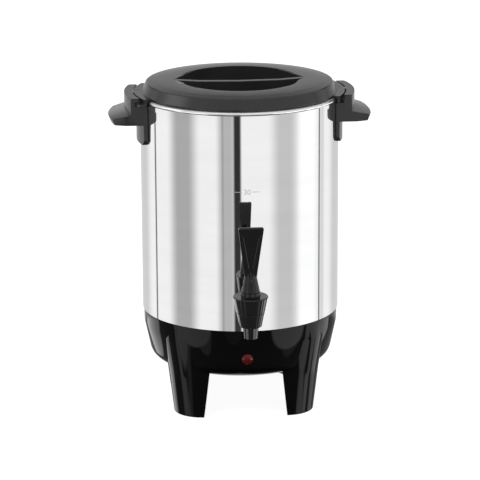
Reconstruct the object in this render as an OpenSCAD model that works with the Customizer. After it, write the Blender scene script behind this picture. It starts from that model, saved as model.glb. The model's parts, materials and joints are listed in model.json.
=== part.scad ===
// Coffee urn: a single-wall percolator urn with a bayonet lid and a self-closing tap.
// Millimetres. The origin is on the urn's axis at the floor, +Z is up, and the tap faces -Y.

/* [Tank] */
// Outer radius of the steel tank
tank_r = 99; // [92:0.5:106]
// Thickness of the tank's sheet
tank_wall = 0.8; // [0.5:0.1:1.2]
// Height of the tank from its lower edge to the top of its rim bead
tank_h = 219; // [200:1:260]
// Radius of the rolled bead at the rim
bead_r = 1.75; // [1.2:0.05:2.2]
// Height of the tank's floor above its lower edge
skirt_h = 3; // [2:0.5:5]
// Inner radius of the heating well in the tank's floor
well_r = 24; // [22:0.5:30]
// Depth of the heating well
well_depth = 6; // [5:0.5:8]

/* [Base] */
// Height of the bowl's underside above the floor
leg_clear = 46.5; // [38:0.5:60]
// Height of the bowl
bowl_h = 51.5; // [49:0.5:62]
// Wall of the moulded base
base_wall = 2.5; // [2:0.1:3.2]
// Height of the upright band at the top of the bowl
bowl_band = 13.5; // [10:0.5:20]
// Inward slope of the bowl's side below the band
bowl_slope = 12; // [8:0.5:14]
// Radius of the corner between the bowl's side and its underside
bowl_corner = 13.5; // [8:0.5:15]
// Distance from the urn's axis to the axis of a leg's round face
leg_place = 59; // [56:0.5:62]
// Radius of a leg's round face at the floor
foot_r = 28.6; // [27:0.1:31]
// Thickness of a leg at the floor, from its flat inner face to its round face
foot_t = 8.4; // [8:0.1:11]
// Radius of a leg's round face where it leaves the bowl's underside
leg_root_r = 34.2; // [32:0.1:36]
// How far the legs stand out of the bowl at the seam
leg_proud = 0.6; // [0.4:0.1:0.9]
// Height of the indicator lamp above the bowl's underside
lamp_rise = 21.5; // [18:0.5:25]
// Radius of the lamp's lens
lens_r = 5.65; // [5:0.05:7]

/* [Handles] */
// Reach of the grip's outer edge from the urn's axis
grip_r = 131; // [126:0.5:140]
// How far the handle's block stands out from the tank's wall
block_t = 15.75; // [15.5:0.25:19]
// Half of the handle's width
handle_half = 36; // [32:0.5:40]
// Height of the handle's top above the rim
handle_rise = 2.6; // [2.5:0.1:4]
// Height of the grip at its outer edge
grip_edge_h = 6.5; // [5:0.5:9]
// Wall of the moulded handle
handle_wall = 2.6; // [2:0.1:3.2]

/* [Lid] */
// Height of the lid's crown above the rim
lid_rise = 14; // [13.5:0.5:18]
// Wall of the moulded lid
lid_wall = 2.5; // [2:0.1:3]
// Radius of the two round halves of the recess in the lid
recess_r = 57; // [50:0.5:58]
// Depth of the recess below the crown
recess_depth = 19.5; // [17:0.5:20]
// Thickness of the grip ridge across the recess
ridge_w = 7; // [6:0.5:10]
// Depth of the lid's plug below the rim
plug_depth = 10; // [9:0.5:14]
// Angle that the lid turns through to lock
lock_angle = 18; // [16:0.5:19]
// Thickness of the hooks that lock the lid
hook_t = 2.3; // [1.8:0.1:2.6]

/* [Tap] */
// Distance from the tank's wall to the tap's upright axis
tap_reach = 40; // [36:0.5:48]
// Height of the spout's mouth above the tank's lower edge
spout_rise = 5.8; // [4:0.2:8]
// Radius of the spout's bore
spout_bore = 4.75; // [4:0.25:5]
// Radius of the threaded shank
shank_r = 8; // [7.5:0.1:8.4]
// Height of the lever's paddle above its waist
paddle_h = 50; // [40:1:60]
// Width of the paddle at its top
paddle_w = 24.3; // [20:0.1:28]
// Radius of the lever's pin
pin_r = 1.5; // [1.2:0.1:1.7]
// Radius of the valve stem
stem_r = 2.5; // [2.2:0.1:2.7]

/* [Percolator] */
// Outer radius of the pump tube
tube_r = 5; // [4.5:0.1:6]
// Wall of the pump tube and its bell
tube_wall = 0.7; // [0.5:0.1:1]
// Outer radius of the coffee basket
basket_r = 62; // [50:1:75]
// Depth of the coffee basket
basket_h = 50; // [35:1:60]
// Radius of a hole in the basket's floor
basket_hole = 1.6; // [1:0.1:2]

/* [Clearances] */
// Gap between parts that turn or slide past each other
free_gap = 0.3; // [0.2:0.05:0.5]
// Radial gap of a pin, stem or screw in its bore
fit_gap = 0.1; // [0.05:0.05:0.15]

/* [Hidden] */
$fn = 96;
cut = 1;                                   // how far a cutting tool passes a face

// Levels of the urn
seam_z = leg_clear + bowl_h;               // lower edge of the tank
rim_z = seam_z + tank_h;                   // top of the rim bead
floor_z = seam_z + skirt_h;                // underside of the tank's floor
well_z = floor_z - well_depth;             // underside of the heating well
tank_ri = tank_r - tank_wall;

// Bowl and legs
bowl_r = tank_ri - 0.2;
shoulder_r = bowl_r - 0.2;
shoulder_z = seam_z - bowl_band;
lip_h = skirt_h - 1;                       // the seal fills the last millimetre
leg_r = bowl_r + leg_proud - leg_place;    // radius of a leg's round face at the seam
leg_widest_z = shoulder_z - 5;             // where a leg's taper ends
leg_flat = leg_place + foot_r - foot_t;
lamp_z = leg_clear + lamp_rise;
corner_steps = 4;                          // cones that make the bowl's lower corner
cover_r = 68;
cover_t = 1.5;
cover_lap = 8;
sole_t = 3;
leg_angles = [45, 135, 225, 315];

// Power inlet, with the sizes of a common three-pin appliance inlet
inlet_z = leg_clear + 27;
pad_root_y = 70;
inlet_w = 27.2;
inlet_h = 19.8;
inlet_flange = [50, 24, 1.6];
inlet_screw_x = 20;
inlet_depth = 20;
inlet_wall = 1.5;
inlet_face_y = shoulder_r;
pad_w = 54;
pad_h = 29;
pin_places = [[-7, -2], [0, 2], [7, -2]];
tab_l = 7;
inlet_screw_l = 8;

// Heater and controls below the tank's floor
stud_r = 3;
block_h = 12;
block_low_z = well_z - block_h;
heater_pin_x = 14;
heater_pin_r = 2;
heater_pin_l = 8;
lead_loop = 46;
nut_h = 4;
clamp_t = 1.5;
clamp_w = 12;
control_x = 45;
thermostat_r = 8;
thermostat_h = 10;
fuse_r = 2.5;
fuse_l = 14;
lead_r = 1;
lead_gap = 0.2;
lamp_depth = 12;

// Handles
block_r = tank_r + block_t;
handle_top = rim_z + handle_rise;
wing_t = 4.2;
slot_h = hook_t + 1.8;
slot_z = handle_top - wing_t - slot_h;
slot_r = block_r - 3.5;
wing_ri = tank_r + 7.8;
grip_low_z = handle_top - 27.2;
grip_root_z = handle_top - 16.6;
strap_r = tank_r + 4;
strap_drop = 20.5;
grip_undercut = 2;
grip_narrowing = 6.5;
screw_angle = 11;
screw_z = grip_low_z + 5;
screw_r = 2;
boss_r = 4.2;
washer_t = 1.5;

// Lid
crown_z = rim_z + lid_rise;
flange_r = tank_ri - 0.7;
plug_r = tank_ri - 3.7;
plug_z = rim_z - plug_depth;
skirt_top_r = flange_r - 4.5;
skirt_top_z = crown_z - 1.8;
recess_z = crown_z - recess_depth;
recess_tip = recess_r + 8;                 // each end of the ridge
recess_half = 7;                           // from the ridge's line to the centre of a half
recess_join = 1.5;                         // how deep the straight sides run into a half
ridge_dip = 2.5;
lug_r = wing_ri - 1.8;
lug_z = rim_z + free_gap;
lug_from = 20.3;
lug_to = 24;
peg_t = 2.8;
hook_low_z = slot_z + 1.4;
hook_reach = slot_r - 0.6;
liner_t = 1.2;
lid_screw_r = 50;
seal_h = 4;

// Tap, all measured on its upright axis
tap_y = -(tank_r + tap_reach);
spout_z = seam_z + spout_rise;
seat_z = spout_z + 11.6;
seat_top_z = seat_z + 2.3;
tap_seam_z = seat_z + 14.3;
bonnet_top_z = tap_seam_z + 16.1;
collar_z = bonnet_top_z + 4.2;
shank_z = tap_seam_z - 8;
seam_r = 13.8;
step_r = 10.9;
step_edge = 0.9;
bonnet_r = 17.1;
chamber_r = 8.8;
spigot_r = 11.2;
spigot_h = 5.5;
lever_z = collar_z + 0.4;
lever_foot_r = 9.1;
waist_r = 5.85;
waist_z = lever_z + 15.8;
pivot_z = lever_z + 7;
paddle_lean = 10;
lever_swing = 35;
seat_cup_t = 0.8;
stem_button = 1.5;
stem_button_h = 2;
stem_low_z = seat_top_z + fit_gap + seat_cup_t;
tap_flange_r = 12;
tap_washer_t = 2;

// Percolator
bell_r = well_r - 3;
bell_z = well_z + tank_wall + free_gap;
bell_h = 15;
bell_plate_z = bell_z + 2;
tube_low_z = bell_plate_z + 4.6;
tube_top_z = plug_z - 9;
basket_rim_z = tube_top_z - 9;
basket_z = basket_rim_z - basket_h;
basket_wall = 0.8;
sleeve_r = tube_r + free_gap + basket_wall;
hole_rings = [[14, 10], [23, 18], [32, 24], [41, 32], [50, 38]];

// Colours
steel = [0.78, 0.79, 0.8];
black = [0.08, 0.08, 0.09];
dark = [0.16, 0.16, 0.17];
red = [0.6, 0.03, 0.05];
silicone = [0.75, 0.72, 0.68];
brass = [0.75, 0.6, 0.3];

// ---- Shared shapes ----

// A ring or disc on the Z axis
module ring(r_out, r_in, h) {
    difference() {
        cylinder(r = r_out, h = h);
        translate([0, 0, -cut]) cylinder(r = r_in, h = h + 2 * cut);
    }
}

// A sector of a ring about the Z axis, between two angles
module sector(r_in, r_out, from, to, z, h) {
    rotate([0, 0, from]) rotate_extrude(angle = to - from)
        translate([r_in, z]) square([r_out - r_in, h]);
}

// A rectangle centred on X and Z with round corners, extruded along +Y
module rounded_bar(w, h, depth, r) {
    rotate([90, 0, 0]) mirror([0, 0, 1]) linear_extrude(depth) rounded_rect(w, h, r);
}

module rounded_rect(w, h, r) {
    square([w - 2 * r, h], center = true);
    square([w, h - 2 * r], center = true);
    for (x = [-1, 1], y = [-1, 1])
        translate([x * (w / 2 - r), y * (h / 2 - r)]) circle(r, $fn = 32);
}

// A lead swept through a list of points, with each corner cut once
function unit(v) = v / norm(v);
function heading(p, i) = unit(i == 0 ? p[1] - p[0] : i == len(p) - 1 ? p[i] - p[i - 1]
    : unit(p[i] - p[i - 1]) + unit(p[i + 1] - p[i]));
function cut_corners(p) = [for (i = [0 : len(p) - 1])
    each (i == 0 || i == len(p) - 1 ? [p[i]]
        : [p[i] * 0.7 + p[i - 1] * 0.3, p[i] * 0.7 + p[i + 1] * 0.3])];
function ring_points(centre, dir, r, sides) =
    let (u = unit(cross(dir, [0.31, 0.52, 0.8])), v = cross(dir, u))
    [for (k = [0 : sides - 1]) centre + r * (cos(k * 360 / sides) * u + sin(k * 360 / sides) * v)];

module lead(corners) {
    p = cut_corners(corners);
    last = len(p) - 1;
    n = 8;
    points = [for (i = [0 : last]) each ring_points(p[i], heading(p, i), lead_r, n)];
    sides = [for (i = [0 : last - 1], k = [0 : n - 1])
        [i * n + k, i * n + (k + 1) % n, (i + 1) * n + (k + 1) % n, (i + 1) * n + k]];
    polyhedron(points, concat([[for (k = [n - 1 : -1 : 0]) k]], sides,
                              [[for (k = [0 : n - 1]) last * n + k]]));
}

// Puts a part, drawn along +Z from the tank's wall outwards, at a place on the wall
module on_wall(angle, z) {
    translate([0, 0, z]) rotate([0, 0, angle]) rotate([0, 90, 0]) children();
}

// The four places where the handles are screwed to the tank
module at_handle_screws() {
    for (side = [0, 180], a = [-screw_angle, screw_angle]) on_wall(side + a, screw_z) children();
}

// A space that the tank's wall would fill, from the axis out to a radius
module wall_core(r) {
    translate([0, 0, seam_z]) cylinder(r = r, h = tank_h);
}

// Puts a part that is drawn along +Y from the tap's axis at the tap's shank
module at_shank() {
    translate([0, tap_y, shank_z]) rotate([-90, 0, 0]) children();
}

// ---- Tank ----

module tank() {
    color(steel) difference() {
        rotate_extrude() {
            translate([tank_ri, seam_z]) square([tank_wall, tank_h - bead_r]);
            translate([tank_ri - 0.2 + bead_r, rim_z - bead_r]) circle(bead_r, $fn = 48);
            translate([well_r, floor_z]) square([tank_ri - well_r + tank_wall / 2, tank_wall]);
            translate([well_r, well_z]) square([tank_wall, well_depth + tank_wall]);
            translate([0, well_z]) square([well_r + tank_wall, tank_wall]);
        }
        at_shank() cylinder(r = shank_r + fit_gap, h = 2 * tap_reach);
        at_handle_screws() cylinder(r = screw_r + fit_gap, h = tank_r + 10, $fn = 32);
    }
}

// ---- Base ----

function bowl_line(z) = shoulder_r - max(0, shoulder_z - z) * tan(bowl_slope);
function bowl_corner_x() = bowl_line(leg_clear + bowl_corner) - bowl_corner / cos(bowl_slope);

// Half of the bowl's section, moved inwards by an inset
module bowl_section(inset, top) {
    step = inset / cos(bowl_slope);
    x = bowl_corner_x();
    z = leg_clear + bowl_corner;
    r = bowl_corner - inset;
    corner = [for (k = [0 : corner_steps]) let (a = -90 + k * (90 - bowl_slope) / corner_steps)
        [x + r * cos(a), z + r * sin(a)]];
    polygon([[0, leg_clear + inset], each corner, [shoulder_r - step, shoulder_z],
             [bowl_r - inset, seam_z], [bowl_r - inset, top], [0, top]]);
}

// One leg: a round face that tapers down from near the shoulder, cut flat towards the axis
module leg_form() {
    top = seam_z - free_gap;
    intersection() {
        translate([leg_place, 0, 0]) rotate_extrude() polygon([[0, 0], [foot_r, 0],
            [leg_root_r, leg_clear], [leg_r, leg_widest_z], [leg_r, top], [0, top]]);
        translate([leg_flat, -leg_r, 0]) cube([leg_r, 2 * leg_r, top]);
    }
}

// The hollow of a leg, which opens up into the bowl
module leg_core() {
    top = leg_clear + bowl_corner + 4;
    taper = (leg_root_r - foot_r) / leg_clear;
    intersection() {
        translate([leg_place, 0, sole_t])
            cylinder(r1 = foot_r + taper * sole_t - base_wall, r2 = foot_r + taper * top - base_wall,
                     h = top - sole_t);
        translate([leg_flat + base_wall, -leg_r, 0]) cube([leg_r, 2 * leg_r, shoulder_z]);
    }
}

module at_legs() {
    for (a = leg_angles) rotate([0, 0, a]) children();
}

// Puts a part that is drawn along +Z, outwards, on the bowl's sloping front
module on_bowl_front() {
    translate([0, -bowl_line(lamp_z), lamp_z]) rotate([90 + bowl_slope, 0, 0]) children();
}

module inlet_pad() {
    depth = inlet_face_y - pad_root_y;
    translate([0, pad_root_y, inlet_z]) rounded_bar(pad_w, pad_h, depth, 4);
}

module base_housing() {
    color(black) difference() {
        union() {
            rotate_extrude() bowl_section(0, seam_z + lip_h);
            at_legs() leg_form();
            inlet_pad();
        }
        rotate_extrude() bowl_section(base_wall, seam_z + lip_h + cut);
        at_legs() leg_core();
        translate([0, 0, leg_clear - cut]) cylinder(r = cover_r - cover_lap, h = base_wall + 2 * cut);
        translate([0, pad_root_y, inlet_z])
            rounded_bar(inlet_w + 2 * fit_gap, inlet_h + 2 * fit_gap, tank_r, 3);
        for (x = [-inlet_screw_x, inlet_screw_x])
            translate([x, pad_root_y, inlet_z]) rotate([-90, 0, 0])
                cylinder(r = 1.5 + fit_gap, h = tank_r, $fn = 32);
        on_bowl_front() translate([0, 0, -10]) cylinder(r = lens_r - 1, h = 20, $fn = 48);
    }
}

module base_seal() {
    color(silicone) translate([0, 0, seam_z + lip_h])
        ring(bowl_r - 0.4, bowl_r - base_wall - 1, skirt_h - lip_h);
}

module bottom_cover() {
    color(dark) translate([0, 0, leg_clear - cover_t]) difference() {
        ring(cover_r, stud_r + fit_gap, cover_t);
        for (a = [0 : 30 : 330]) rotate([0, 0, a]) translate([24, -1.5, -cut])
            cube([20, 3, cover_t + 2 * cut]);
    }
}

module centre_stud() {
    low = leg_clear - cover_t - nut_h - 2;
    color(steel) translate([0, 0, low]) cylinder(r = stud_r, h = well_z - low);
}

module base_nut() {
    color(steel) translate([0, 0, leg_clear - cover_t - nut_h])
        difference() {
            cylinder(r = 6, h = nut_h, $fn = 6);
            translate([0, 0, -cut]) cylinder(r = stud_r + fit_gap, h = nut_h + 2 * cut);
        }
}

// ---- Heater and controls ----

module heater_block() {
    color("gainsboro") translate([0, 0, block_low_z]) {
        ring(well_r - 2, stud_r + fit_gap, block_h);
        for (x = [-heater_pin_x, heater_pin_x]) translate([x, 0, -heater_pin_l])
            cylinder(r = heater_pin_r, h = heater_pin_l, $fn = 32);
    }
}

module heater_nut() {
    color(steel) translate([0, 0, block_low_z - clamp_t - nut_h]) difference() {
        cylinder(r = 6, h = nut_h, $fn = 6);
        translate([0, 0, -cut]) cylinder(r = stud_r + fit_gap, h = nut_h + 2 * cut);
    }
}

// A sprung bar that is clamped under the heater and presses both controls to the tank
module clamp_bar() {
    rise = well_r + 3.5;
    stat_z = floor_z - thermostat_h - clamp_t;
    fuse_z = floor_z - 2 * fuse_r - clamp_t;
    end = control_x + thermostat_r;
    low = block_low_z - clamp_t;
    color(steel) rotate([0, 0, 90]) difference() {
        translate([0, clamp_w / 2, 0]) rotate([90, 0, 0]) linear_extrude(clamp_w)
            polygon([[-end, fuse_z], [-rise, fuse_z], [-rise, low], [rise, low], [rise, stat_z],
                     [end, stat_z], [end, stat_z + clamp_t], [rise - clamp_t, stat_z + clamp_t],
                     [rise - clamp_t, low + clamp_t], [clamp_t - rise, low + clamp_t],
                     [clamp_t - rise, fuse_z + clamp_t], [-end, fuse_z + clamp_t]]);
        translate([0, 0, low - cut]) cylinder(r = stud_r + fit_gap, h = clamp_t + 2 * cut);
    }
}

module thermostat() {
    color(dark) translate([0, control_x, floor_z - thermostat_h]) {
        cylinder(r = thermostat_r, h = thermostat_h);
        for (x = [-1, 1]) translate([x * (thermostat_r + 2.5) - 3, -3, 2]) cube([6, 6, 1]);
    }
}

module thermal_fuse() {
    color("white") translate([-fuse_l / 2, -control_x, floor_z - fuse_r])
        rotate([0, 90, 0]) cylinder(r = fuse_r, h = fuse_l, $fn = 32);
}

module indicator_lens() {
    color(red) on_bowl_front() {
        cylinder(r = lens_r, h = 0.8, $fn = 64);
        intersection() {
            translate([0, 0, 2.8 - 1.6 * lens_r]) sphere(1.6 * lens_r, $fn = 96);
            cylinder(r = lens_r - 0.4, h = 6, $fn = 64);
        }
        translate([0, 0, -6]) cylinder(r = lens_r - 1 - fit_gap, h = 6, $fn = 48);
    }
}

// A sleeve that grips the lens behind the wall and carries the neon lamp
module lamp_holder() {
    color(dark) on_bowl_front() translate([0, 0, -base_wall - lamp_depth]) {
        difference() {
            cylinder(r = lens_r + 0.6, h = lamp_depth - 0.3, $fn = 48);
            translate([0, 0, 2]) cylinder(r = lens_r - 1, h = lamp_depth, $fn = 48);
        }
        translate([0, 0, 1]) cylinder(r = 2.6, h = 7, $fn = 32);
    }
}

module power_inlet() {
    back = inlet_face_y - inlet_depth;
    color(black) difference() {
        union() {
            translate([0, inlet_face_y, inlet_z])
                rounded_bar(inlet_flange.x, inlet_flange.y, inlet_flange.z, 4);
            translate([0, back, inlet_z]) rounded_bar(inlet_w, inlet_h, inlet_depth + cut, 3);
        }
        translate([0, back + 3, inlet_z])
            rounded_bar(inlet_w - 2 * inlet_wall, inlet_h - 2 * inlet_wall, inlet_depth + 9, 2.5);
        for (p = pin_places) translate([p.x, back + 1.5, inlet_z + p.y])
            cube([2 + fit_gap, 3 + 2 * cut, 4 + fit_gap], center = true);
        for (x = [-inlet_screw_x, inlet_screw_x])
            translate([x, inlet_face_y - cut, inlet_z]) rotate([-90, 0, 0])
                cylinder(r = 1.5 + fit_gap, h = 2 * inlet_flange.z, $fn = 32);
    }
}

module inlet_pins() {
    back = inlet_face_y - inlet_depth;
    color(brass) for (p = pin_places) translate([p.x - 1, back - tab_l, inlet_z + p.y - 2])
        cube([2, inlet_depth + 4, 4]);
}

module inlet_screws() {
    color(steel) for (x = [-inlet_screw_x, inlet_screw_x])
        translate([x, inlet_face_y + inlet_flange.z, inlet_z]) rotate([90, 0, 0]) {
            cylinder(r = 1.5, h = inlet_screw_l, $fn = 32);
            translate([0, 0, -1.4]) cylinder(r1 = 2.2, r2 = 2.8, h = 1.4, $fn = 32);
        }
}

module internal_wires() {
    tab_y = inlet_face_y - inlet_depth - tab_l - lead_gap;
    stat_x = thermostat_r + 2.5;
    fuse_x = fuse_l / 2 + lead_gap;
    fuse_z = floor_z - fuse_r;
    pin_z = block_low_z - heater_pin_l;
    end_z = pin_z - lead_gap;
    side = heater_pin_r + lead_gap;
    lamp = [0, -bowl_line(lamp_z) + base_wall + lamp_depth + 0.6, lamp_z + 3];
    color("firebrick") {
        lead([[7, tab_y, inlet_z - 2], [7, tab_y - 4, inlet_z - 2], [16, tab_y - 9, inlet_z - 6],
              [stat_x + 6, control_x, floor_z - thermostat_h - 4],
              [stat_x, control_x, floor_z - thermostat_h + 0.8]]);
        lead([[-stat_x, control_x, floor_z - thermostat_h + 0.8],
              [-stat_x - 6, control_x - 8, pin_z], [-heater_pin_x, 6, pin_z - 6],
              [-heater_pin_x, 0, pin_z - 5], [-heater_pin_x, 0, end_z]]);
        lead([[heater_pin_x, 0, end_z], [heater_pin_x, 0, pin_z - 5],
              [heater_pin_x, -6, pin_z - 6], [20, -control_x, pin_z - 2],
              [fuse_x + 9, -control_x, fuse_z - 5], [fuse_x + 4, -control_x, fuse_z],
              [fuse_x, -control_x, fuse_z]]);
        lead([[-7, tab_y, inlet_z - 2], [-7, tab_y - 4, inlet_z - 2],
              [-30, tab_y - 18, inlet_z - 12], [-lead_loop, 0, inlet_z - 10],
              [-28, -control_x, fuse_z - 12], [-fuse_x - 9, -control_x, fuse_z - 4],
              [-fuse_x - 4, -control_x, fuse_z], [-fuse_x, -control_x, fuse_z]]);
        for (s = [-1, 1])
            lead([[s * 1.3, lamp.y, lamp.z], [s * 6, lamp.y + 14, lamp.z],
                  [s * 10, -16, pin_z - 9], [s * heater_pin_x, -side - 6, pin_z + 3],
                  [s * heater_pin_x, -side, pin_z + 3]]);
    }
}

// ---- Handles ----

// The handle's outer section: strap, grip, block and the wing over the bayonet slot
module handle_section() {
    edge_top = grip_low_z + grip_edge_h;
    polygon([[tank_r, grip_low_z - strap_drop], [strap_r, grip_low_z - strap_drop],
             [strap_r, grip_low_z], [grip_r - grip_undercut, grip_low_z], [grip_r, edge_top - 1.5],
             [grip_r - 1.5, edge_top], [block_r, grip_root_z], [block_r, handle_top],
             [wing_ri, handle_top], [wing_ri, slot_z], [tank_r, slot_z]]);
}

// The hollow under the grip and the block
module handle_hollow_section() {
    outer = grip_r - handle_wall;
    edge_top = grip_low_z + grip_edge_h - handle_wall;
    polygon([[strap_r, grip_low_z - cut], [outer - grip_undercut, grip_low_z - cut],
             [outer - 1, edge_top], [block_r - handle_wall, grip_root_z - handle_wall],
             [block_r - handle_wall, slot_z - handle_wall], [strap_r, slot_z - handle_wall]]);
}

// Limits a handle's plan: parallel ends on the block, narrowing ends on the grip
module handle_plan(inset) {
    half = handle_half - inset;
    tip = handle_half - grip_narrowing - inset;
    linear_extrude(rim_z * 2) polygon([[tank_r - 20, -half], [block_r - 1, -half], [grip_r, -tip],
        [grip_r + 9, -tip], [grip_r + 9, tip], [grip_r, tip], [block_r - 1, half],
        [tank_r - 20, half]]);
}

// The corners that are cut off the strap's lower end
module strap_corners() {
    low = grip_low_z - strap_drop;
    for (side = [-1, 1]) translate([tank_r - 20, 0, 0]) rotate([90, 0, 90]) linear_extrude(40)
        polygon([[side * (handle_half - 5), low - cut], [side * (handle_half - 5), low],
                 [side * (handle_half + 1), low + 6], [side * (handle_half + 1), low - cut]]);
}

// A handle on the +X side, with its bayonet slot open towards +Y
module handle() {
    locked = lug_from - lock_angle - 0.4;
    difference() {
        intersection() {
            rotate_extrude() handle_section();
            handle_plan(0);
        }
        sector(wing_ri - cut, slot_r, locked, 30, slot_z, slot_h);
        difference() {
            intersection() {
                rotate_extrude() handle_hollow_section();
                handle_plan(handle_wall);
            }
            for (a = [-screw_angle, screw_angle]) on_wall(a, screw_z) cylinder(r = boss_r, h = block_r);
        }
        for (a = [-screw_angle, screw_angle]) on_wall(a, screw_z)
            cylinder(r = screw_r + fit_gap / 2, h = block_r - handle_wall - 1, $fn = 32);
        strap_corners();
    }
}

module left_handle() {
    color(black) rotate([0, 0, 180]) handle();
}

module right_handle() {
    color(black) handle();
}

module handle_screws() {
    head = tank_ri - washer_t;
    color(steel) at_handle_screws() {
        translate([0, 0, head - 2]) cylinder(r1 = 3.2, r2 = 4, h = 2, $fn = 48);
        translate([0, 0, head - cut])
            cylinder(r = screw_r, h = block_r - handle_wall - head - 1, $fn = 32);
    }
}

module handle_washers() {
    color(silicone) at_handle_screws() intersection() {
        translate([0, 0, tank_ri - washer_t]) ring(5, screw_r + fit_gap, washer_t);
        rotate([0, -90, 0]) translate([0, 0, -rim_z]) cylinder(r = tank_ri, h = 2 * rim_z, $fn = 180);
    }
}

// ---- Tap ----

module tap_body() {
    color(black) difference() {
        union() {
            translate([0, tap_y, 0]) {
                translate([0, 0, spout_z]) cylinder(r1 = 6.65, r2 = 7.75, h = seat_z - spout_z);
                translate([0, 0, seat_z])
                    cylinder(r1 = step_r - step_edge, r2 = step_r, h = step_edge);
                translate([0, 0, seat_z + step_edge])
                    cylinder(r1 = step_r, r2 = seam_r, h = tap_seam_z - seat_z - step_edge);
                translate([0, 0, tap_seam_z]) cylinder(r = spigot_r, h = spigot_h);
            }
            at_shank() cylinder(r = shank_r - 0.4, h = tap_reach - 6);
            at_shank() translate([0, 0, tap_reach - 7])
                cylinder(r1 = shank_r, r2 = tap_flange_r, h = 3);
            at_shank() translate([0, 0, tap_reach - 4]) cylinder(r = tap_flange_r, h = 2);
            at_shank() translate([0, 0, tap_reach - 4]) cylinder(r = shank_r, h = 18);
        }
        translate([0, tap_y, spout_z - cut]) cylinder(r = spout_bore, h = seat_z);
        translate([0, tap_y, seat_top_z - 0.8]) ring(chamber_r, spout_bore + 1.2, 1);
        translate([0, tap_y, seat_top_z]) cylinder(r = chamber_r, h = tap_seam_z);
        at_shank() cylinder(r = shank_r - 3, h = tap_reach * 2);
    }
}

module tap_bonnet() {
    skin = 0.15;
    color(black) translate([0, tap_y, 0]) difference() {
        rotate_extrude() polygon([[0, tap_seam_z], [seam_r + skin, tap_seam_z],
            [bonnet_r, bonnet_top_z - 0.8], [bonnet_r - 0.5, bonnet_top_z],
            [lever_foot_r + 0.6, bonnet_top_z + 0.3], [lever_foot_r + 0.4, collar_z], [0, collar_z]]);
        translate([0, 0, tap_seam_z - cut]) cylinder(r = spigot_r + fit_gap, h = spigot_h + 0.2 + cut);
        translate([0, 0, tap_seam_z]) cylinder(r = chamber_r, h = bonnet_top_z - tap_seam_z - 3);
        translate([0, 0, tap_seam_z]) cylinder(r = stem_r + fit_gap, h = collar_z);
    }
}

module tap_washers() {
    color(silicone) {
        difference() {
            at_shank() translate([0, 0, tap_reach - 2]) ring(tap_flange_r - 0.5, shank_r + fit_gap, 4);
            wall_core(tank_r);
        }
        intersection() {
            at_shank() translate([0, 0, tap_reach - 2]) ring(tap_flange_r - 0.5, shank_r + fit_gap,
                                                              2 + tank_wall + tap_washer_t);
            wall_core(tank_ri);
        }
    }
}

module tap_nut() {
    color(steel) at_shank() translate([0, 0, tap_reach + tank_wall + tap_washer_t]) difference() {
        cylinder(r = 12.5, h = 5, $fn = 6);
        translate([0, 0, -cut]) cylinder(r = shank_r + fit_gap, h = 5 + 2 * cut);
    }
}

// The paddle seen from the side: it leans forward and thins towards its top
module paddle_side(grow) {
    top = waist_z + paddle_h;
    polygon([[-4 - grow, waist_z - 3], [-4.5 - grow, waist_z + 8],
             [-paddle_lean - 1.6 - grow, top - 1], [-paddle_lean - 0.6, top],
             [-paddle_lean + 1.6, top], [-paddle_lean + 2.4, top - 1],
             [2, waist_z + 12], [4, waist_z - 3]]);
}

// The paddle seen from the front
module paddle_front() {
    top = waist_z + paddle_h;
    polygon([[-waist_r, waist_z], [-paddle_w / 2, top - 1.5], [1 - paddle_w / 2, top],
             [paddle_w / 2 - 1, top], [paddle_w / 2, top - 1.5], [waist_r, waist_z]]);
}

// Two ribs that spread from the waist like a V
module rib_front() {
    top = waist_z + paddle_h;
    for (side = [-1, 1]) polygon([[side * 0.2, waist_z], [side * 2, waist_z],
        [side * (paddle_w / 2 - 2.6), top - 9], [side * (paddle_w / 2 - 3.8), top - 7],
        [side * (paddle_w / 2 - 5), top - 10]]);
}

module across_tap(w) {
    translate([-w / 2, 0, 0]) rotate([90, 0, 90]) linear_extrude(w) children();
}

module along_tap() {
    translate([0, 30, 0]) rotate([90, 0, 0]) linear_extrude(60) children();
}

// The slot in the lever's foot, wide enough for the stem when the lever is pulled forward
module lever_slot() {
    side = stem_r + 0.25;
    front = stem_r / cos(lever_swing) + free_gap;
    low = lever_z - cut;
    top = pivot_z + stem_r + 0.4;
    across_tap(2 * side) polygon([[side, low], [side, top], [-front, top], [-front, pivot_z],
        [-front - (pivot_z - low) * tan(lever_swing), low]]);
}

module tap_lever() {
    color(black) translate([0, tap_y, 0]) difference() {
        union() {
            translate([0, 0, lever_z])
                cylinder(r1 = lever_foot_r, r2 = waist_r, h = waist_z - lever_z);
            translate([0, 0, waist_z]) sphere(waist_r - 0.3);
            intersection() {
                across_tap(paddle_w) paddle_side(0);
                along_tap() paddle_front();
            }
            intersection() {
                across_tap(paddle_w) paddle_side(1.3);
                along_tap() rib_front();
            }
            translate([0, -waist_r - 1, waist_z - 4]) rotate([-90, 0, 0])
                cylinder(r = 1.6, h = waist_r, $fn = 32);
        }
        lever_slot();
        translate([-10, 0, pivot_z]) rotate([0, 90, 0])
            cylinder(r = pin_r + fit_gap / 2, h = 20, $fn = 48);
    }
}

module lever_pin() {
    half = lever_foot_r - 2;
    color(steel) translate([-half, tap_y, pivot_z]) rotate([0, 90, 0])
        cylinder(r = pin_r, h = 2 * half, $fn = 48);
}

module valve_stem() {
    bore_l = 8 * stem_r;
    color(steel) translate([0, tap_y, 0]) difference() {
        union() {
            translate([0, 0, stem_low_z]) cylinder(r = stem_r, h = pivot_z - stem_low_z);
            translate([0, 0, stem_low_z]) cylinder(r = stem_r + stem_button, h = stem_button_h);
            translate([-stem_r, 0, pivot_z]) rotate([0, 90, 0]) cylinder(r = stem_r, h = 2 * stem_r);
        }
        translate([-bore_l / 2, 0, pivot_z]) rotate([0, 90, 0])
            cylinder(r = pin_r, h = bore_l, $fn = 48);
    }
}

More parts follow.
